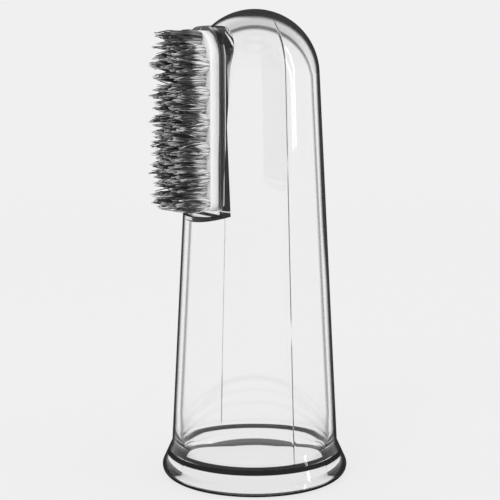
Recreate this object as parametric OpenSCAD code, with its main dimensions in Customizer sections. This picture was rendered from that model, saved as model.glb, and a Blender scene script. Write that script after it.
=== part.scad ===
// Finger toothbrush: a clear thimble sleeve with a rolled rim and a flattened brush side, and a
// bristle plate in a pocket near the tip. The tufts pass through the plate and their ends are
// melted into one backing behind it; in front they lean at the plate's face. +Z runs from the
// mouth to the tip, the bristles face -X, and the origin is the centre of the rim's resting face.
// All sizes are in millimetres.

/* [Sleeve] */
// Height from the rim's resting face to the top of the dome
sleeve_h = 59.5; // [52:0.5:75]
// Outside radius of the domed tip
tip_r = 8.2; // [7.8:0.1:9.2]
// Outside radius of the sleeve wall, drawn down to the resting face
base_r = 10.95; // [10.4:0.05:12.5]
// Thickness of the sleeve wall
wall = 0.8; // [0.6:0.05:1.1]
// Thickness at the top of the dome, where the plastic is left heavier
dome_t = 1.6; // [1.1:0.1:2]

/* [Rim] */
// Radius of the rolled bead
bead_r = 1.2; // [1:0.05:1.5]
// How far the bead stands out past the sleeve wall
rim_flare = 1.05; // [0.8:0.05:1.3]
// Depth of the flat that is taken off under the bead
foot_flat = 0.05; // [0.03:0.01:0.12]
// Height at which the rim's sloping shoulder leaves the wall
rim_h = 4.2; // [3:0.1:6]

/* [Mouth] */
// Rounding of the lip under the mouth
lip_r = 0.4; // [0.2:0.05:0.5]
// How much wider in radius the mouth is at its lip than at its straight land
mouth_flare = 0.4; // [0.2:0.05:0.5]
// Height at which the flare ends and the straight land starts
flare_h = 3.2; // [2:0.1:5]
// Length of the straight land
mouth_land = 4; // [3:0.5:10]

/* [Bristle plate] */
// Length of the plate along the sleeve
plate_l = 21.9; // [20:0.1:25]
// Width of the plate
plate_w = 9.8; // [9.4:0.1:10.6]
// Thickness of the plate
plate_t = 1.2; // [1.1:0.05:1.8]
// Rounding of the plate's upper corners, towards the tip
top_corner_r = 3.6; // [2.4:0.1:3.8]
// Rounding of the plate's lower corners
low_corner_r = 1.1; // [0.8:0.05:1.2]
// Chamfer round the plate's brushing face
plate_chamfer = 0.2; // [0.1:0.05:0.3]
// Distance from the sleeve's axis to the plate's brushing face
face_d = 8.4; // [8.2:0.05:9.4]

/* [Fused backing] */
// Thickness of the layer that the melted tuft ends form behind the plate
backing_t = 0.65; // [0.5:0.05:1]
// How far the backing stays inside the plate's edge
backing_inset = 0.2; // [0.1:0.05:0.5]

/* [Seat for the plate] */
// Distance from the top of the dome down to the top of the seat
seat_drop = 2.25; // [2:0.05:4]
// Width of the raised border round the plate
seat_border = 0.5; // [0.3:0.05:0.8]
// Chamfer round the outer edge of the border
seat_chamfer = 0.25; // [0.1:0.05:0.4]
// How deep the plate sits below the border
plate_sink = 0.25; // [0.1:0.05:0.5]
// Gap between the plate's edge and the pocket
plate_gap = 0.1; // [0.05:0.01:0.2]
// Thickness left between the pocket and the finger
floor_wall = 0.5; // [0.45:0.05:0.8]
// Slope of the ramp that leads the fingertip onto the flat floor, in degrees from the floor
floor_ramp = 66; // [40:1:68]
// Slope of the ledge below the seat, in degrees from the plate's face
ledge_slope = 78; // [60:1:84]

/* [Tufts] */
// Rows of tufts along the plate
rows = 13; // [9:2:13]
// Tufts in the odd rows; even rows have one fewer, and the row at the rounded top two fewer
columns = 5; // [4:1:5]
// Distance from the plate's edge to the middle of the outermost tufts
tuft_edge = 0.95; // [0.9:0.05:1.3]
// Radius of a tuft's hole in the plate
hole_r = 0.72; // [0.6:0.01:0.78]
// Gap between a tuft and its hole
tuft_gap = 0.04; // [0.02:0.01:0.08]
// Free length of the bristles
bristle_l = 4.2; // [3.5:0.1:7]
// Rounding of the trimmed bristle field at its two ends
trim_r = 1.2; // [0.5:0.1:3]
// Outward lean of a tuft's outermost filaments, in degrees
splay = 2.2; // [0:0.1:3]
// Largest lean of a tuft to either side, in degrees
max_lean = 25; // [15:1:30]

/* [Hidden] */
$fn = 64;
margin = 1;                 // how far a cutting form runs past what it cuts
arc_steps = 14;             // points along each arc of a revolved outline
corner_steps = 8;           // points along each rounded corner of a flat outline
filament_rings = 2;         // rings of filaments round the one in the middle
ring_step = 6;              // filaments that each ring has more than the one inside it
row_turn = 17;              // turn of the filament pattern from row to row, in degrees
column_turn = 29;           // turn of the filament pattern from tuft to tuft, in degrees
pack_share = 0.93;          // share of the packing pitch that a filament fills

// Sleeve outline: the wall is the line from the base that touches the dome's circle
dome_z = sleeve_h - tip_r;
wall_angle = wall_tilt(base_r, dome_z, tip_r);
bead_c = [base_r + rim_flare - bead_r, bead_r - foot_flat];
shoulder_foot = tangent_angle([wall_radius(rim_h), rim_h], bead_c, bead_r);

// Cavity: a flared mouth, a straight land, then a taper that touches the inner dome
land_top = flare_h + mouth_land;
mouth_r = wall_radius(land_top) - wall;
inner_tip_r = tip_r - wall;
inner_dome_z = sleeve_h - dome_t - inner_tip_r;
inner_angle = wall_tilt(mouth_r, inner_dome_z - land_top, inner_tip_r);

// Head: depths are measured from the sleeve's axis towards the bristles
plate_back_d = face_d - plate_t;
pocket_d = plate_back_d - backing_t;
seat_d = plate_back_d + plate_sink;
floor_d = pocket_d - floor_wall;
root_d = tip_r / 2;
seat_grow = plate_gap + seat_border;
seat_top = sleeve_h - seat_drop;
seat_bottom = seat_top - plate_l - 2 * seat_grow;
head_z = (seat_top + seat_bottom) / 2;

// Tuft field
row_pitch = (plate_l - 2 * tuft_edge) / (rows - 1);
column_pitch = (plate_w - 2 * tuft_edge) / (columns - 1);
tuft_r = hole_r - tuft_gap;
bundle_r = tuft_r * cos(max_lean);
filament_pitch = bundle_r / (filament_rings + 0.5);
filament_r = pack_share * filament_pitch / 2;
field_l = plate_l - 2 * tuft_edge + 2 * bundle_r + 2 * bristle_l * tan(splay);

sleeve_colour = [0.92, 0.94, 0.95, 0.45];
plate_colour = [0.9, 0.91, 0.92];
bristle_colour = [0.16, 0.16, 0.17];
backing_colour = [0.11, 0.11, 0.12];

function tuft_name(row, column) = str("tuft_", row < 10 ? "0" : "", row, "_", column);
function tufts_in(row) = row == 1 ? columns - 2 : columns - (row + 1) % 2;

// Angle between the axis and a line from radius r at height 0 that touches a circle of radius
// circle_r on the axis at height h
function wall_tilt(r, h, circle_r) = atan2(-h, r) + acos(circle_r / norm([r, h]));

// Outside radius of the sleeve wall at height z
function wall_radius(z) = base_r - z * tan(wall_angle);

// Where a line from a point above a circle touches its outer side, as an angle round the circle
function tangent_angle(point, centre, r) =
    let (to = point - centre) atan2(to.y, to.x) - acos(r / norm(to));

// Points along an arc, both ends included
function arc(centre, r, from, to, steps = arc_steps) =
    [for (i = [0:steps]) let (a = from + (to - from) * i / steps) centre + r * [cos(a), sin(a)]];

// The plate's outline, x towards the tip, with its edge moved outwards by grow
module plate_outline(grow = 0) {
    half = [plate_l / 2 + grow, plate_w / 2 + grow];
    polygon([for (corner = [0:3])
        let (side = [corner == 0 || corner == 3 ? 1 : -1, corner < 2 ? 1 : -1],
             r = grow + (side.x > 0 ? top_corner_r : low_corner_r),
             centre = [side.x * (half.x - r), side.y * (half.y - r)])
        each arc(centre, r, corner * 90, corner * 90 + 90, corner_steps)]);
}

// A slab of the plate's outline, chamfered round its outer face
module chamfered_slab(t, chamfer, grow = 0) {
    hull() {
        linear_extrude(t - chamfer) plate_outline(grow);
        linear_extrude(t) plate_outline(grow - chamfer);
    }
}

// Moves a form drawn on the plate, with x along the sleeve and z outwards, to a depth from the axis
module on_head(depth) {
    translate([-depth, 0, head_z]) rotate([0, -90, 0]) children();
}

// Solid outside of the sleeve: bead, sloping shoulder, tapering wall and dome
module sleeve_outside() {
    foot_angle = asin(-bead_c.y / bead_r);
    rotate_extrude($fn = 128) polygon(concat(
        [[0, 0]],
        arc(bead_c, bead_r, foot_angle, shoulder_foot),
        [[wall_radius(rim_h), rim_h]],
        arc([0, dome_z], tip_r, wall_angle, 90, 2 * arc_steps)
    ));
}

// Finger space: rounded lip, flared mouth, straight land, taper and inner dome
module finger_space() {
    lip_c = [mouth_r + mouth_flare + lip_r, lip_r];
    rotate_extrude($fn = 128) polygon(concat(
        [[0, -margin], [lip_c.x, -margin]],
        arc(lip_c, lip_r, 270, 180),
        [[mouth_r, flare_h], [mouth_r, land_top]],
        arc([0, inner_dome_z], inner_tip_r, inner_angle, 90, 2 * arc_steps)
    ));
}

// Extrudes an outline drawn in x and z right across the sleeve
module across() {
    rotate([90, 0, 0]) linear_extrude(4 * base_r, center = true) children();
}

// What the flat seat takes off the round sleeve, with a sloping ledge at its lower end
module seat_cut() {
    far = 2 * base_r;
    across() polygon([
        [-seat_d, seat_bottom],
        [-seat_d, sleeve_h + margin],
        [-far, sleeve_h + margin],
        [-far, seat_bottom - (far - seat_d) / tan(ledge_slope)]
    ]);
}

// Plastic left inside the finger space under the plate: a flat floor and the ramp that leads to it
module finger_floor() {
    far = 2 * base_r;
    across() polygon([
        [-floor_d, seat_bottom],
        [-floor_d, sleeve_h],
        [-far, sleeve_h],
        [-far, seat_bottom - (far - floor_d) / tan(floor_ramp)]
    ]);
}

module finger_sleeve() {
    color(sleeve_colour) difference() {
        union() {
            difference() {
                sleeve_outside();
                seat_cut();
            }
            on_head(root_d) chamfered_slab(seat_d - root_d, seat_chamfer, seat_grow);
        }
        difference() {
            finger_space();
            finger_floor();
        }
        on_head(pocket_d) linear_extrude(seat_d - pocket_d + margin) plate_outline(plate_gap);
    }
}

// Places what belongs to one tuft, with its hinge line at z = 0 on the plate's face
module at_tuft(row, column) {
    x = (row - (rows + 1) / 2) * row_pitch;
    y = (column - (tufts_in(row) + 1) / 2) * column_pitch;
    on_head(face_d) translate([-x, y, 0]) children();
}

module at_every_tuft() {
    for (row = [1:rows], column = [1:tufts_in(row)]) at_tuft(row, column) children();
}

module bristle_plate() {
    color(plate_colour) difference() {
        on_head(plate_back_d) chamfered_slab(plate_t, plate_chamfer);
        at_every_tuft()
            translate([0, 0, -plate_t - margin]) cylinder(h = plate_t + 2 * margin, r = hole_r);
    }
}

// Melted tuft ends: one layer behind the plate, with each tuft's buried end standing in its hole
module tuft_backing() {
    color(backing_colour) {
        on_head(pocket_d) linear_extrude(backing_t) plate_outline(-backing_inset);
        at_every_tuft()
            translate([0, 0, -plate_t - backing_t / 2])
                cylinder(h = plate_t + backing_t / 2 - tuft_r - tuft_gap, r = tuft_r);
    }
}

// The bristle field's trimmed envelope, rounded at its two ends
module trim_form() {
    on_head(face_d) rotate([90, 0, 0]) linear_extrude(2 * plate_w, center = true) polygon(concat(
        [[-field_l / 2, -margin], [field_l / 2, -margin]],
        arc([field_l / 2 - trim_r, bristle_l - trim_r], trim_r, 0, 90),
        arc([trim_r - field_l / 2, bristle_l - trim_r], trim_r, 90, 180)
    ));
}

// Free length of one tuft: a round root on the hinge line and rings of filaments that lean outwards
module tuft(row, column) {
    color(bristle_colour) intersection() {
        at_tuft(row, column) {
            sphere(tuft_r);
            cylinder(h = bristle_l + margin, r = filament_r);
            for (ring = [1:filament_rings], i = [0:ring_step * ring - 1])
                rotate([0, 0, 360 * i / (ring_step * ring) + row_turn * row + column_turn * column])
                    translate([ring * filament_pitch, 0, 0])
                        rotate([0, splay * ring / filament_rings, 0])
                            cylinder(h = bristle_l + margin, r = filament_r);
        }
        trim_form();
    }
}

finger_sleeve();
bristle_plate();
tuft_backing();
for (row = [1:rows], column = [1:tufts_in(row)])
    tuft(row, column);
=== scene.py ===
import math
import random
import bpy
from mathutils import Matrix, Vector


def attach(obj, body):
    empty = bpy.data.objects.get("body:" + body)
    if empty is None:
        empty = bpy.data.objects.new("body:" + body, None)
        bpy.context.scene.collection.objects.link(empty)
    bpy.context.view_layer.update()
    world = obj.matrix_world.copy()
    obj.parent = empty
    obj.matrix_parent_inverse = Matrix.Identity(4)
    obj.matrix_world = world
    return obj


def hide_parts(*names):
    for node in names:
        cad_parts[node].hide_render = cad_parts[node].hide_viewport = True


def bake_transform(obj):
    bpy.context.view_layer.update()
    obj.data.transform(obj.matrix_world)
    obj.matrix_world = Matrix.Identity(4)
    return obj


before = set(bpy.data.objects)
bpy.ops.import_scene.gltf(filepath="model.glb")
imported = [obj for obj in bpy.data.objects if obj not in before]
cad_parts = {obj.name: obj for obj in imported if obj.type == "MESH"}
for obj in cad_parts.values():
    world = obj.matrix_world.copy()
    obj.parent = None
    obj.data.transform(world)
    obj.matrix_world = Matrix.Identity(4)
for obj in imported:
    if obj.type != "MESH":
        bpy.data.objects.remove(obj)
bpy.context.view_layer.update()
mm = 0.001
degree = math.radians(1)
touch = 0.01 * mm  # nearer than this counts as the same place
spinGap = 0.002 * mm  # points merged where a spin closes
sliver = 0.0005 * mm  # points merged after the cuts
print("frame loaded with", len(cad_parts), "nodes")


# Small helpers for working as by hand

def pick(obj):
    bpy.ops.object.select_all(action="DESELECT")
    obj.select_set(True)
    bpy.context.view_layer.objects.active = obj


def justAdded(name):
    obj = bpy.context.active_object
    obj.name = name
    obj.data.name = name
    return obj


def applyModifier(obj, kind, **settings):
    pick(obj)
    modifier = obj.modifiers.new(kind.title(), kind)
    for key, value in settings.items():
        setattr(modifier, key, value)
    bpy.ops.object.modifier_apply(modifier=modifier.name)


def combine(obj, other, operation):  # boolean with a helper object, which is then thrown away
    applyModifier(obj, "BOOLEAN", operation=operation, solver="EXACT", object=other)
    bpy.data.objects.remove(other)


def applyPlace(obj):
    pick(obj)
    bpy.ops.object.transform_apply(location=True, rotation=True, scale=True)


def addBlock(name, low, high):
    low, high = Vector(low), Vector(high)
    bpy.ops.mesh.primitive_cube_add(size=1, location=(low + high) / 2)
    obj = justAdded(name)
    obj.scale = high - low
    applyPlace(obj)
    return obj


def selectEdges(obj, test):  # in edit mode, edges whose two ends pass the test
    bpy.ops.mesh.select_mode(type="EDGE")
    bpy.ops.mesh.select_all(action="DESELECT")
    bpy.ops.object.mode_set(mode="OBJECT")
    points = obj.data.vertices
    for edge in obj.data.edges:
        edge.select = test(*[points[i].co for i in edge.vertices])
    bpy.ops.object.mode_set(mode="EDIT")


def roundEdges(obj, radius, segments, test):
    pick(obj)
    bpy.ops.object.mode_set(mode="EDIT")
    selectEdges(obj, test)
    bpy.ops.mesh.bevel(offset=radius, segments=segments, profile=0.5, affect="EDGES")
    bpy.ops.object.mode_set(mode="OBJECT")


def mergeSlivers(obj):  # points that the cuts left on top of each other
    pick(obj)
    bpy.ops.object.mode_set(mode="EDIT")
    bpy.ops.mesh.select_all(action="SELECT")
    bpy.ops.mesh.remove_doubles(threshold=sliver)
    bpy.ops.object.mode_set(mode="OBJECT")


def lathe(name, outline, steps):  # an outline of (radius, height) drawn point by point, then spun
    bpy.ops.object.select_all(action="DESELECT")
    bpy.ops.mesh.primitive_plane_add(size=mm, location=(0, 0, 0))
    obj = justAdded(name)
    bpy.ops.object.mode_set(mode="EDIT")
    bpy.ops.mesh.select_mode(type="VERT")
    bpy.ops.mesh.select_all(action="SELECT")
    bpy.ops.mesh.merge(type="CENTER")
    last = Vector((0, 0, 0))
    for index, (radius, height) in enumerate(outline):
        point = Vector((radius, 0, height))
        if index == 0:
            bpy.ops.transform.translate(value=point - last)
        else:
            bpy.ops.mesh.extrude_region_move(TRANSFORM_OT_translate={"value": point - last})
        last = point
    bpy.ops.mesh.select_all(action="SELECT")
    bpy.ops.mesh.spin(steps=steps, angle=2 * math.pi, center=(0, 0, 0), axis=(0, 0, 1))
    bpy.ops.mesh.select_all(action="SELECT")
    bpy.ops.mesh.remove_doubles(threshold=spinGap)
    bpy.ops.mesh.normals_make_consistent(inside=False)
    bpy.ops.object.mode_set(mode="OBJECT")
    return obj


def arc(centre, radius, start, end, steps):  # points in degrees, both ends included
    angles = [math.radians(start + (end - start) * i / steps) for i in range(steps + 1)]
    return [(centre[0] + radius * math.cos(a), centre[1] + radius * math.sin(a)) for a in angles]


def straight(start, end, steps):  # points between two ends, both left out
    return [tuple(a + (b - a) * i / steps for a, b in zip(start, end)) for i in range(1, steps)]


def wear(obj, material):
    obj.data.materials.clear()
    obj.data.materials.append(material)


# Shader maths: a socket that can be added, multiplied and taken away

class Wire:
    def __init__(self, tree, socket=None):
        self.tree = tree
        self.socket = socket

    def add(self, kind, settings=None, links=None, out=0):  # any node: settings first, then sockets
        node = self.tree.nodes.new(kind)
        for key, value in (settings or {}).items():
            setattr(node, key, value)
        for key, value in (links or {}).items():
            if isinstance(value, Wire):
                self.tree.links.new(value.socket, node.inputs[key])
            else:
                node.inputs[key].default_value = value
        return Wire(self.tree, node.outputs[out] if node.outputs else None)

    def maths(self, operation, first, second):
        return self.add("ShaderNodeMath", {"operation": operation}, {0: first, 1: second})

    def __add__(self, other):
        return self.maths("ADD", self, other)

    def __radd__(self, other):
        return self.maths("ADD", other, self)

    def __sub__(self, other):
        return self.maths("SUBTRACT", self, other)

    def __rsub__(self, other):
        return self.maths("SUBTRACT", other, self)

    def __mul__(self, other):
        return self.maths("MULTIPLY", self, other)

    def __rmul__(self, other):
        return self.maths("MULTIPLY", other, self)

    def size(self):
        return self.maths("ABSOLUTE", self, 0.0)

    def squareRoot(self):
        return self.maths("SQRT", self, 0.0)

    def inside(self, low, high, soft):  # 1 between low and high, fading to 0 over a soft edge
        return self.between(low - soft, low) * (1 - self.between(high, high + soft))

    def between(self, low, high):  # 0 below low, 1 above high, smooth in between
        return self.add("ShaderNodeMapRange", {"interpolation_type": "SMOOTHSTEP"},
                        {"Value": self, "From Min": low, "From Max": high})

    def spread(self, low, high):  # a value from 0 to 1, made to run from low to high
        return low + (high - low) * self

    def mixed(self, first, second):  # two colours mixed by this value
        return self.add("ShaderNodeMix", {"data_type": "RGBA"},
                        {"Factor": self, 6: first, 7: second}, out=2)

    def parts(self, axes):  # a vector's values along the named axes
        return [self.add("ShaderNodeSeparateXYZ", links={"Vector": self}, out=axis)
                for axis in axes]

    def noise(self, scale, detail):  # a cloudy value over these coordinates
        return self.add("ShaderNodeTexNoise",
                        links={"Vector": self, "Scale": scale, "Detail": detail})


def newMaterial(name):
    material = bpy.data.materials.new(name)
    material.use_nodes = True
    material.node_tree.nodes.clear()
    return material, Wire(material.node_tree)


def grey(level):
    return (level, level, level, 1)


def greys(low, high):
    return grey(low), grey(high)


# Camera at the photograph's angle

cameraSet = {
    "turn": -27,  # degrees round the sleeve from looking along +Y
    "pitch": 7.13,  # degrees above the horizon
    "aim": Vector((0, 0, 30 * mm)),
    "distance": 160 * mm,
    "lens": 89.87,  # on the 36 mm sensor
    "shift": (-0.0092, -0.01464),
}


def setCamera():
    turn, pitch = math.radians(cameraSet["turn"]), math.radians(cameraSet["pitch"])
    level = math.cos(pitch)
    back = Vector((math.sin(turn) * level, -math.cos(turn) * level, math.sin(pitch)))
    bpy.ops.object.camera_add(location=cameraSet["aim"] + cameraSet["distance"] * back)
    camera = justAdded("photoCamera")
    camera.rotation_euler = (-back).to_track_quat("-Z", "Y").to_euler()
    camera.data.lens = cameraSet["lens"]
    camera.data.shift_x, camera.data.shift_y = cameraSet["shift"]
    camera.data.clip_start = mm
    bpy.context.scene.camera = camera


setCamera()
print("camera set")


# Clear sleeve: turned outside, flat seat for the plate, hollow for the finger

sleeve = {
    "height": 59.5 * mm,
    "tipRadius": 8.2 * mm,
    "baseRadius": 10.95 * mm,  # wall drawn down to the floor
    "wall": 0.8 * mm,
    "domeThick": 1.6 * mm,  # heavier at the top of the dome
    "beadRadius": 1.2 * mm,
    "rimFlare": 1.05 * mm,
    "footFlat": 0.05 * mm,
    "rimHeight": 4.2 * mm,  # where the rim's shoulder leaves the wall
    "lipRadius": 0.4 * mm,
    "mouthFlare": 0.4 * mm,
    "flareHeight": 3.2 * mm,
    "mouthLand": 4 * mm,
    "seamWidth": 0.16 * mm,  # mould's parting line, from the dome down each side
    "seamRaise": 0.05 * mm,
    "seamTop": 57.6 * mm,
    "seamStart": 1 * mm,  # above the rim's shoulder
    "steps": 192,  # round the axis
    "rings": 24,  # along the straight wall
    "domeSteps": 32,
    "beadSteps": 16,
    "lipSteps": 8,
    "smoothAngle": 30,  # degrees
}
head = {
    "plateLength": 21.9 * mm,
    "plateWidth": 9.8 * mm,
    "plateThick": 1.2 * mm,
    "topCorner": 3.6 * mm,
    "lowCorner": 1.1 * mm,
    "faceDepth": 8.4 * mm,  # from the sleeve's axis to the brushing face
    "backingThick": 0.65 * mm,
    "seatDrop": 2.25 * mm,
    "seatBorder": 0.5 * mm,
    "seatRound": 0.25 * mm,
    "plateSink": 0.25 * mm,
    "plateGap": 0.1 * mm,
    "floorWall": 0.5 * mm,
    "floorRamp": 66,  # degrees from the floor
    "ledgeSlope": 78,  # degrees from the plate's face
    "cornerSteps": 12,
    "edgeSteps": 4,
}
plateBack = head["faceDepth"] - head["plateThick"]
pocketDepth = plateBack - head["backingThick"]
seatDepth = plateBack + head["plateSink"]
floorDepth = pocketDepth - head["floorWall"]
seatGrow = head["plateGap"] + head["seatBorder"]
seatTop = sleeve["height"] - head["seatDrop"]
seatBottom = seatTop - head["plateLength"] - 2 * seatGrow
headHeight = (seatTop + seatBottom) / 2
domeHeight = sleeve["height"] - sleeve["tipRadius"]


def wallTilt(radius, height, circle):  # lean of the wall's line that touches the dome's circle
    reach = math.hypot(radius, height)
    return math.degrees(math.atan2(-height, radius) + math.acos(circle / reach))


outerTilt = wallTilt(sleeve["baseRadius"], domeHeight, sleeve["tipRadius"])
outerSlope = math.tan(math.radians(outerTilt))


def wallRadius(height):
    return sleeve["baseRadius"] - height * outerSlope


def sleeveOutline():
    s = sleeve
    bead = (s["baseRadius"] + s["rimFlare"] - s["beadRadius"], s["beadRadius"] - s["footFlat"])
    corner = (wallRadius(s["rimHeight"]), s["rimHeight"])
    rise = (corner[0] - bead[0], corner[1] - bead[1])
    lean = math.acos(s["beadRadius"] / math.hypot(*rise))
    shoulder = math.degrees(math.atan2(rise[1], rise[0]) - lean)
    foot = math.degrees(math.asin(-bead[1] / s["beadRadius"]))
    dome = arc((0, domeHeight), s["tipRadius"], outerTilt, 90, s["domeSteps"])
    return ([(0, 0)] + arc(bead, s["beadRadius"], foot, shoulder, s["beadSteps"]) + [corner]
            + straight(corner, dome[0], s["rings"]) + dome)


def fingerOutline():
    s = sleeve
    below = -1 * mm  # starts under the foot, so that the cut is clean
    landTop = s["flareHeight"] + s["mouthLand"]
    mouth = wallRadius(landTop) - s["wall"]
    tip = s["tipRadius"] - s["wall"]
    lip = (mouth + s["mouthFlare"] + s["lipRadius"], s["lipRadius"])
    roof = s["height"] - s["domeThick"] - tip  # centre of the hollow's own dome
    dome = arc((0, roof), tip, wallTilt(mouth, roof - landTop, tip), 90, s["domeSteps"])
    return ([(0, below), (lip[0], below)] + arc(lip, s["lipRadius"], 270, 180, s["lipSteps"])
            + [(mouth, s["flareHeight"]), (mouth, landTop)]
            + straight((mouth, landTop), dome[0], s["rings"]) + dome)


def wedge(name, depth, slope):  # what lies beyond a flat at this depth, leaning out below the seat
    far = 2 * sleeve["baseRadius"]
    obj = addBlock(name, (-far, -far, seatBottom), (-depth, far, sleeve["height"] + mm))
    for point in obj.data.vertices:
        if point.co.x < -depth - mm and point.co.z < seatBottom + mm:
            point.co.z -= (far - depth) / math.tan(math.radians(slope))
    return obj


def headSlab(name, near, far, grow=0, edgeRound=0):  # the plate's outline between two depths
    across, along = head["plateWidth"] / 2 + grow, head["plateLength"] / 2 + grow
    slab = addBlock(name, (-far, -across, headHeight - along), (-near, across, headHeight + along))
    for side, corner in ((1, "topCorner"), (-1, "lowCorner")):
        roundEdges(slab, head[corner] + grow, head["cornerSteps"], lambda a, b: (
            abs(a.x - b.x) > (far - near) / 2 and side * (a.z - headHeight) > along - touch))
    if edgeRound:
        roundEdges(slab, edgeRound, head["edgeSteps"], lambda a, b: max(a.x, b.x) < touch - far)
    return slab


def raiseSeam(body):  # the wall's edges at the two sides become a fine ridge
    low = sleeve["rimHeight"]

    def onSeam(point):
        return abs(point.x) < touch and low - touch < point.z < sleeve["seamTop"]

    roundEdges(body, sleeve["seamWidth"] / 2, 2, lambda a, b: onSeam(a) and onSeam(b))
    for point in body.data.vertices:
        if onSeam(point.co) and point.co.z > low + sleeve["seamStart"]:
            point.co.y += math.copysign(sleeve["seamRaise"], point.co.y)


def makeSleeve():
    body = lathe("fingerSleeve", sleeveOutline(), sleeve["steps"])
    raiseSeam(body)
    combine(body, wedge("seatFlat", seatDepth, head["ledgeSlope"]), "DIFFERENCE")
    seat = headSlab("seatBlock", sleeve["tipRadius"] / 2, seatDepth, seatGrow, head["seatRound"])
    combine(body, seat, "UNION")
    hollow = lathe("fingerSpace", fingerOutline(), sleeve["steps"])
    combine(hollow, wedge("fingerFloor", floorDepth, head["floorRamp"]), "DIFFERENCE")
    combine(body, hollow, "DIFFERENCE")
    pocket = headSlab("platePocket", pocketDepth, seatDepth + mm, head["plateGap"])
    combine(body, pocket, "DIFFERENCE")
    mergeSlivers(body)
    bpy.ops.object.shade_smooth_by_angle(angle=math.radians(sleeve["smoothAngle"]))
    applyModifier(body, "WEIGHTED_NORMAL", keep_sharp=True)  # even gloss beside the cuts
    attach(body, "root")
    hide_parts("finger_sleeve")
    return body


# edge to thinning set painted shade on the clear plastic: dark where it turns away, sooner over the
# dome, down the back and round the rim
plasticSet = {
    "edge": (0.67, 0.82),  # how far a surface turns away before its edge goes dark
    "topEdge": 0.26,  # how much sooner that is over the dome
    "roofEdge": 0.12,  # over the hollow's dome
    "backEdge": 0.18,  # down the back
    "rimEdge": 0.2,  # round the rim
    "lowBack": 0.25,  # share of backEdge kept near the mouth
    "thinning": 0.8,  # share of topEdge lost towards the head
    "clearBelow": 1.2 * mm,  # how far below the seat its flats stay without dark edges
    "ring": (2.8 * mm, 3.3 * mm),  # painted shade in the crease where the rim meets the wall
    "lip": (2.85 * mm, 3.3 * mm),  # and inside, where the mouth's flare ends
    "foot": 0.65 * mm,  # painted contact shadow where the rim stands on the floor
    "ledge": 0.2 * mm,  # painted shade under the seat
    "backingMarkEnd": 0.6 * mm,  # how far the dark mark beside the backing stays from the pocket's ends
    "seamSpread": 0.06 * mm,  # how much wider the parting line's painted shade is on the dome
    "seamFade": (9 * mm, 12 * mm),  # where it grows faint on the +Y side
    "soft": 0.06 * mm,
    "edgeDark": 0.97,
    "lineDark": 0.9,
    "seamDark": 0.8,
    "shade": (0.012, 0.03),
    "shadeRoughness": 0.4,
    "roughness": (0.01, 0.04),
    "ior": 1.49,
    "haze": 0.75,
    "hazeDensity": 40.0,
    "cloudScale": 220.0,
    "breakScale": 130.0,  # gaps in the parting line
}


def outerFace(net, x, y, z):  # 1 on the outside of the wall and dome
    rise = net.maths("MAXIMUM", z - domeHeight, 0.0)
    reach = (x * x + y * y + rise * rise).squareRoot()
    inset = wallRadius(0) - outerSlope * net.maths("MINIMUM", z, domeHeight) - reach
    return 1 - inset.between(0.3 * sleeve["wall"], 0.5 * sleeve["wall"])


def paintedEdgeShade(net, outer, x, z):  # painted shade where the clear plastic turns away, widened over the dome, down the back and round the rim
    p = plasticSet
    tip, height = sleeve["tipRadius"], sleeve["height"]
    depth = -1 * x
    facing = net.add("ShaderNodeLayerWeight", links={"Blend": 0.5}, out="Facing")
    top = z.between(domeHeight, height)
    thin = 1 - p["thinning"] * depth.between(2 * mm, 0.7 * tip)
    back = x.between(0.4 * tip, tip) * z.between(0.4 * height, 0.6 * height).spread(p["lowBack"], 1)
    rim = 1 - z.between(sleeve["beadRadius"], 2 * sleeve["beadRadius"])
    turned = (facing + outer * (p["topEdge"] * top * thin + p["backEdge"] * back)
              + p["roofEdge"] * top * (1 - outer) + p["rimEdge"] * rim)
    low = seatBottom - p["clearBelow"]
    flat = (depth.between(0.5 * tip, 0.55 * tip) * (1 - outer)  # the seat and the finger's floor
            * z.between(low - 0.1 * mm, low + 0.1 * mm))
    return turned.between(*p["edge"]) * (1 - flat)


def darkLines(x, y, z):  # painted shade at the creases and under the seat, a painted contact shadow at the foot, and a dark mark on the pocket's walls beside the backing
    p = plasticSet
    soft, wide = p["soft"], sleeve["baseRadius"]
    radius = (x * x + y * y).squareRoot()
    outside = radius.between(wide - 0.6 * mm, wide - 0.5 * mm)
    hollow = 1 - radius.between(wide - 1.0 * mm, wide - 0.9 * mm)
    bead = radius.between(wide, wide + 0.3 * mm)
    crease = z.inside(*p["ring"], soft) * outside
    mouth = z.inside(*p["lip"], soft) * hollow
    foot = (1 - z.between(p["foot"], p["foot"] + 2 * soft)) * bead
    depth, across, along = -1 * x, y.size(), (z - headHeight).size()
    halfWidth = head["plateWidth"] / 2 + head["plateGap"]
    halfLength = head["plateLength"] / 2 + head["plateGap"]
    seatSide = halfWidth + head["seatBorder"]
    backingMark = (depth.inside(pocketDepth + 2 * soft, plateBack, soft)
            * (1 - across.between(halfWidth + soft, halfWidth + 2 * soft))
            * (1 - along.between(halfLength - p["backingMarkEnd"], halfLength)))
    ledge = (z.inside(seatBottom - soft, seatBottom + p["ledge"], soft)
             * depth.between(floorDepth, pocketDepth)
             * (1 - across.between(seatSide, seatSide + soft)))
    return crease + mouth + p["lineDark"] * (foot + backingMark + ledge)


def partingLineShade(place, outer, x, y, z):  # painted shade along the parting line's ridge, broken here and there
    p = plasticSet
    width, low, high = sleeve["seamWidth"], p["ring"][1], sleeve["seamTop"]
    breaks = place.noise(p["breakScale"], 1.0)
    aside = x.size() - p["seamSpread"] * z.between(domeHeight, high - 2 * mm)
    return (outer * (1 - aside.between(0.3 * width, 0.5 * width))
            * z.between(low, low + mm) * (1 - z.between(high - mm, high))
            * breaks.between(0.35, 0.5) * (1 - y.between(0, mm) * z.between(*p["seamFade"])))


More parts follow.
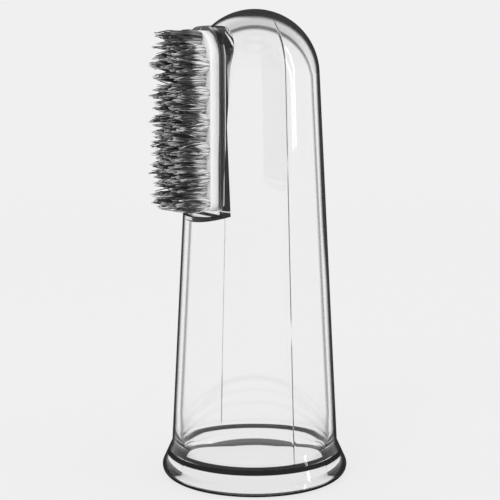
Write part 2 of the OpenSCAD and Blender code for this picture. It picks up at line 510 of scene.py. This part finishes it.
def clearPlastic():
    p = plasticSet
    material, net = newMaterial("clearPlastic")
    place = net.add("ShaderNodeTexCoord", out="Object")
    x, y, z = place.parts("XYZ")
    cloud = place.noise(p["cloudScale"], 3.0)
    outer = outerFace(net, x, y, z)
    # painted shade: a dark shader mixed in at the edges, creases, foot, under the seat and on the
    # parting line, and beside the backing
    dark = net.add("ShaderNodeClamp", links={
        "Value": p["edgeDark"] * paintedEdgeShade(net, outer, x, z) + darkLines(x, y, z)
        + p["seamDark"] * partingLineShade(place, outer, x, y, z)})
    clear = net.add("ShaderNodeBsdfPrincipled", links={
        "Base Color": grey(1.0),
        "Roughness": cloud.spread(*p["roughness"]),
        "IOR": p["ior"],
        "Transmission Weight": 1.0,
    })
    shade = net.add("ShaderNodeBsdfPrincipled", links={
        "Base Color": cloud.mixed(*greys(*p["shade"])),
        "Roughness": p["shadeRoughness"],
        "Specular IOR Level": 0.0,
    })
    both = net.add("ShaderNodeMixShader", links={0: dark, 1: clear, 2: shade})
    haze = net.add("ShaderNodeVolumeAbsorption", links={
        "Color": grey(p["haze"]), "Density": p["hazeDensity"]})
    net.add("ShaderNodeOutputMaterial", links={"Surface": both, "Volume": haze})
    return material


sleevePiece = makeSleeve()
wear(sleevePiece, clearPlastic())
print("sleeve made with", len(sleevePiece.data.polygons), "faces")


# Bristle plate and the fused backing behind it

plateSet = {
    "edgeRound": 0.2 * mm,
    "holeRadius": 0.72 * mm,
    "rows": 13,
    "columns": 5,
    "tuftEdge": 0.95 * mm,  # from the plate's edge to the middle of its outer tufts
    "pinSides": 24,
    "smoothAngle": 35,  # degrees
    "tone": (0.84, 0.9),
    "roughness": (0.34, 0.5),
    "cloudScale": 350.0,
    "grainScale": 6000.0,
    "grainStrength": 0.12,
    "grainDepth": 0.02 * mm,
    "glow": 0.15,  # light that passes through the white plastic
    "glowRadius": (mm, mm, mm),
    "glowScale": 0.5,
}


def tuftPlaces(row):  # (across, height) of each tuft in a row, row 1 at the top
    rows, columns, edge = plateSet["rows"], plateSet["columns"], plateSet["tuftEdge"]
    rowPitch = (head["plateLength"] - 2 * edge) / (rows - 1)
    columnPitch = (head["plateWidth"] - 2 * edge) / (columns - 1)
    count = columns - 2 if row == 1 else columns - (row + 1) % 2
    height = headHeight - (row - (rows + 1) / 2) * rowPitch
    return [((i - (count - 1) / 2) * columnPitch, height) for i in range(count)]


def addPins(name, radius, near, far):  # a rod at every tuft's place, all in one object
    pins = None
    for row in range(1, plateSet["rows"] + 1):
        for across, height in tuftPlaces(row):
            bpy.ops.mesh.primitive_cylinder_add(
                vertices=plateSet["pinSides"], radius=radius, depth=far - near,
                location=(-(near + far) / 2, across, height), rotation=(0, math.pi / 2, 0))
            pin = justAdded(name)
            if pins:
                pins.select_set(True)
                bpy.context.view_layer.objects.active = pins
                bpy.ops.object.join()
            else:
                pins = pin
    applyPlace(pins)
    return pins


def makePlate():
    plate = headSlab("bristlePlate", plateBack, head["faceDepth"], 0, plateSet["edgeRound"])
    drills = addPins("drills", plateSet["holeRadius"], plateBack - mm, head["faceDepth"] + mm)
    combine(plate, drills, "DIFFERENCE")
    mergeSlivers(plate)
    bpy.ops.object.shade_smooth_by_angle(angle=math.radians(plateSet["smoothAngle"]))
    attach(plate, "root")
    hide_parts("bristle_plate")
    return plate


def satinWhite():
    p = plateSet
    material, net = newMaterial("satinWhite")
    place = net.add("ShaderNodeTexCoord", out="Object")
    cloud, grain = place.noise(p["cloudScale"], 4.0), place.noise(p["grainScale"], 2.0)
    bump = net.add("ShaderNodeBump", links={
        "Height": grain, "Strength": p["grainStrength"], "Distance": p["grainDepth"]})
    shader = net.add("ShaderNodeBsdfPrincipled", links={
        "Base Color": cloud.mixed(*greys(*p["tone"])),
        "Roughness": cloud.spread(*p["roughness"]),
        "Normal": bump,
        "Subsurface Weight": p["glow"],
        "Subsurface Radius": p["glowRadius"],
        "Subsurface Scale": p["glowScale"],
    })
    net.add("ShaderNodeOutputMaterial", links={"Surface": shader})
    return material


backingSet = {
    "inset": 0.2 * mm,  # from the plate's edge
    "gap": 0.03 * mm,  # from the pocket's floor
    "stubRadius": 0.64 * mm,
    "stubDepth": 0.5 * mm,  # below the brushing face
    "stubOverlap": 0.1 * mm,
    "voxel": 0.12 * mm,
    "lumpSize": 0.55 * mm,
    "lumpDepth": 0.2 * mm,
    "tone": (0.01, 0.06),
    "roughness": (0.25, 0.6),
    "meltScale": 900.0,
    "meltStrength": 0.7,
    "meltDepth": 0.15 * mm,
}


def makeBacking():
    b = backingSet
    backing = headSlab("fusedBacking", pocketDepth + b["gap"], plateBack, -b["inset"])
    stubs = addPins("stubs", b["stubRadius"], plateBack - b["stubOverlap"],
                    head["faceDepth"] - b["stubDepth"])
    combine(backing, stubs, "UNION")
    applyModifier(backing, "REMESH", mode="VOXEL", voxel_size=b["voxel"])
    lumps = bpy.data.textures.new("meltLumps", "CLOUDS")
    lumps.noise_scale = b["lumpSize"]
    applyModifier(backing, "DISPLACE", texture=lumps, texture_coords="LOCAL",
                  strength=-b["lumpDepth"], mid_level=0.0)  # only inwards
    pick(backing)
    bpy.ops.object.shade_smooth()
    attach(backing, "root")
    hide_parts("tuft_backing")
    return backing


def meltedNylon():
    b = backingSet
    material, net = newMaterial("meltedNylon")
    place = net.add("ShaderNodeTexCoord", out="Object")
    lumps = place.noise(b["meltScale"], 3.0)
    bump = net.add("ShaderNodeBump", links={
        "Height": lumps, "Strength": b["meltStrength"], "Distance": b["meltDepth"]})
    shader = net.add("ShaderNodeBsdfPrincipled", links={
        "Base Color": lumps.between(0.35, 0.65).mixed(*greys(*b["tone"])),
        "Roughness": lumps.spread(*b["roughness"]),
        "Normal": bump,
    })
    net.add("ShaderNodeOutputMaterial", links={"Surface": shader})
    return material


platePiece = makePlate()
wear(platePiece, satinWhite())
backingPiece = makeBacking()
wear(backingPiece, meltedNylon())
print("plate made with", len(platePiece.data.polygons), "faces, backing with",
      len(backingPiece.data.polygons))


# Bristles: filaments drawn as fine curves, one piece for each row of tufts

bristle = {
    "length": 4.2 * mm,
    "buried": 0.4 * mm,  # how far a filament starts inside its hole
    "tuftRadius": 0.62 * mm,
    "perTuft": 38,
    "clumps": 3,  # points that a tuft's filaments gather to
    "clumpPlace": 0.6,  # share of the tuft's radius
    "clumpTurn": 0.4,  # radians of chance round the tuft
    "gather": 0.75,
    "bulge": 0.55,  # how much wider a tuft is at half its length
    "radius": 0.075 * mm,
    "spiral": 137.508,  # degrees from one filament to the next, as in a seed head
    "spiralTurn": 0.3,  # radians of chance
    "splay": 8,  # degrees at the tuft's edge
    "wander": 3,  # degrees of random lean of a clump
    "stray": 1.4,  # degrees of random lean of one filament
    "shortest": 0.55,  # shares of the full length
    "usual": 1.0,
    "curl": 0.16 * mm,
    "taperStart": 0.7,  # share of the length
    "tipShare": 0.5,  # thickness left at the tip
    "points": 6,
    "seed": 7,
}


def chanceAside(chance, amount):  # a random step across the bristles
    return Vector((0, chance.gauss(0, amount), chance.gauss(0, amount)))


def addFilament(curve, root, own, heart, sway, chance):  # own and heart are places across the tuft
    b = bristle
    lean = sway + chanceAside(chance, b["stray"]) * degree
    bow = chanceAside(chance, 1) * b["curl"]
    length = b["length"] * chance.triangular(b["shortest"], 1, b["usual"])
    spline = curve.splines.new("POLY")
    spline.points.add(b["points"] - 1)
    for i, point in enumerate(spline.points):
        t = i / (b["points"] - 1)
        reach = t * (length + b["buried"])
        wide = own * (1 + b["bulge"] * 4 * t * (1 - t))
        place = (root + wide.lerp(heart, b["gather"] * t ** 3) + Vector((-reach, 0, 0))
                 + lean * max(reach - b["buried"], 0) + bow * t * (1 - t) * 2)
        point.co = (*place, 1)
        taper = max(t - b["taperStart"], 0) / (1 - b["taperStart"])
        point.radius = 1 - (1 - b["tipShare"]) * taper


def addTuft(curve, across, height, chance):
    b = bristle
    root = Vector((-head["faceDepth"] + b["buried"], across, height))
    turn = chance.uniform(0, 2 * math.pi)
    hearts, sways = [], []
    for clump in range(b["clumps"]):
        angle = turn + 2 * math.pi * clump / b["clumps"]
        angle += chance.uniform(-b["clumpTurn"], b["clumpTurn"])
        aside = Vector((0, math.cos(angle), math.sin(angle))) * b["clumpPlace"]
        hearts.append(aside * b["tuftRadius"])
        sways.append((aside * b["splay"] + chanceAside(chance, b["wander"])) * degree)
    for index in range(b["perTuft"]):
        share = math.sqrt((index + 0.5) / b["perTuft"])
        angle = b["spiral"] * degree * index + chance.uniform(-b["spiralTurn"], b["spiralTurn"])
        own = Vector((0, math.cos(angle), math.sin(angle))) * b["tuftRadius"] * share
        clump = min(range(b["clumps"]), key=lambda k: (hearts[k] - own).length)
        addFilament(curve, root, own, hearts[clump], sways[clump], chance)


def makeBristleRow(row):
    chance = random.Random(bristle["seed"] * 100 + row)
    curve = bpy.data.curves.new(f"bristleRow{row:02d}", "CURVE")
    curve.dimensions = "3D"
    curve.bevel_depth = bristle["radius"]
    curve.bevel_resolution = 0
    curve.use_fill_caps = True
    for across, height in tuftPlaces(row):
        addTuft(curve, across, height, chance)
    obj = bpy.data.objects.new(curve.name, curve)
    bpy.context.scene.collection.objects.link(obj)
    pick(obj)
    bpy.ops.object.convert(target="MESH")
    obj = bpy.context.active_object
    bpy.ops.object.shade_smooth()
    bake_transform(obj)
    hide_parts(*[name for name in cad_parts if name.startswith(f"tuft_{row:02d}_")])
    return obj


# rootFade to pale paint light onto the filaments: paler towards each root and tip, less so on the
# top row
nylonSet = {
    "fine": (150.0, 5000.0, 5000.0),  # slow changes along the filaments, quick ones across
    "broad": (80.0, 1800.0, 1800.0),
    "streak": 0.9,  # how far the fade shifts from one filament to the next
    "rootFade": (0.26, 0.44),  # shares of the length
    "tipFade": (0.75, 1.0),
    "tipPale": 0.75,
    "topRow": (0.42, 0.47),  # shares of the plate's length, from its middle
    "topDark": 0.8,  # share of the pale ends that the top row loses
    "tone": (0.03, 0.12),
    "pale": 0.9,
    "roughness": (0.32, 0.52),
}


def nylonBristle():
    n = nylonSet
    material, net = newMaterial("nylonBristle")
    place = net.add("ShaderNodeTexCoord", out="Object")
    tone, wisp = [
        net.add("ShaderNodeMapping", links={"Vector": place, "Scale": n[key]}).noise(1.0, 2.0)
        for key in ("fine", "broad")]
    x, z = place.parts("XZ")
    out = (-1 * x - head["faceDepth"]) * (1 / bristle["length"])  # 0 at the root, 1 at the tip
    streak = n["streak"] * (tone + wisp - 1)
    # painted light at the root and the tip of each filament
    root = 1 - (out - streak).between(*n["rootFade"])
    tip = (out + streak).between(*n["tipFade"])
    topRow = (z - headHeight).between(*[share * head["plateLength"] for share in n["topRow"]])
    pale = (root + n["tipPale"] * tip) * (1 - n["topDark"] * topRow)
    body = tone.between(0.3, 0.7).mixed(*greys(*n["tone"]))
    shader = net.add("ShaderNodeBsdfPrincipled", links={
        "Base Color": pale.mixed(body, grey(n["pale"])),
        "Roughness": tone.spread(*n["roughness"]),
    })
    net.add("ShaderNodeOutputMaterial", links={"Surface": shader})
    return material


bristleRows = [makeBristleRow(row) for row in range(1, plateSet["rows"] + 1)]
bristleFinish = nylonBristle()
for rowPiece in bristleRows:
    wear(rowPiece, bristleFinish)
print("bristles made,", sum(len(o.data.polygons) for o in bristleRows), "faces")


# Floor, light and pale background

studio = {
    "paper": 0.87,  # brightness of the background
    "floorRadius": 3.0,
    "floorSides": 96,
    "floorDrop": 0.02 * mm,  # just under the foot
    "plainFrom": (0.05, 0.6),  # the shadow fades out between these distances
    "shadowShare": 0.14,
    "sky": 0.85,
    "overhead": 0.6,  # darker ceiling that shows only in gloss and through clear plastic
    "overheadFrom": (0.3, 0.7),  # how steeply a look goes up
}
softboxes = {
    "keySoftbox": {"place": (-0.5, -0.35, 0.45), "size": (0.3, 0.4), "power": 1.3, "glint": False},
    "fillSoftbox": {"place": (0.45, -0.45, 0.3), "size": (0.05, 0.5), "power": 0.5, "glint": True},
}


def seenDirectly(net):  # 1 for the camera, and for what shows in gloss and through clear plastic
    rays = [net.add("ShaderNodeLightPath", out=name)
            for name in ("Is Camera Ray", "Is Glossy Ray", "Is Transmission Ray")]
    return net.add("ShaderNodeClamp", links={"Value": rays[0] + rays[1] + rays[2]})


def makeFloor():
    bpy.ops.object.select_all(action="DESELECT")
    bpy.ops.mesh.primitive_circle_add(
        vertices=studio["floorSides"], radius=studio["floorRadius"], fill_type="NGON",
        location=(0, 0, -studio["floorDrop"]))
    floor = justAdded("paperFloor")
    material, net = newMaterial("paperFloor")
    place = net.add("ShaderNodeTexCoord", out="Object")
    away = net.add("ShaderNodeVectorMath", {"operation": "LENGTH"}, {0: place}, out="Value")
    plain = away.between(*studio["plainFrom"])
    own = seenDirectly(net) * (1 - studio["shadowShare"] * (1 - plain))
    paper = net.add("ShaderNodeBsdfDiffuse", links={"Color": grey(studio["paper"])})
    glow = net.add("ShaderNodeEmission", links={"Color": grey(studio["paper"]), "Strength": 1.0})
    mixed = net.add("ShaderNodeMixShader", links={0: own, 1: paper, 2: glow})
    net.add("ShaderNodeOutputMaterial", links={"Surface": mixed})
    wear(floor, material)


def makeSky():
    world = bpy.data.worlds.new("softSky")
    bpy.context.scene.world = world
    world.use_nodes = True
    world.node_tree.nodes.clear()
    net = Wire(world.node_tree)
    rise = net.add("ShaderNodeTexCoord", out="Generated").parts("Z")[0]
    unseen = 1 - net.add("ShaderNodeLightPath", out="Is Camera Ray")
    overhead = rise.between(*studio["overheadFrom"]) * unseen
    light = net.add("ShaderNodeBackground", links={"Color": grey(1.0), "Strength": studio["sky"]})
    shown = net.add("ShaderNodeBackground", links={
        "Color": overhead.mixed(grey(studio["paper"]), grey(studio["overhead"])), "Strength": 1.0})
    mixed = net.add("ShaderNodeMixShader", links={0: seenDirectly(net), 1: light, 2: shown})
    net.add("ShaderNodeOutputWorld", links={"Surface": mixed})


def addSoftbox(name, place, size, power, glint):
    bpy.ops.object.light_add(type="AREA", location=place)
    lamp = justAdded(name)
    lamp.data.shape = "RECTANGLE"
    lamp.data.size, lamp.data.size_y = size
    lamp.data.energy = power
    lamp.visible_glossy = lamp.visible_transmission = glint
    aim = cameraSet["aim"] - Vector(place)
    lamp.rotation_euler = aim.to_track_quat("-Z", "Y").to_euler()


makeFloor()
makeSky()
for boxName, settings in softboxes.items():
    addSoftbox(boxName, **settings)
bpy.context.scene.view_settings.view_transform = "Standard"
print("studio set")
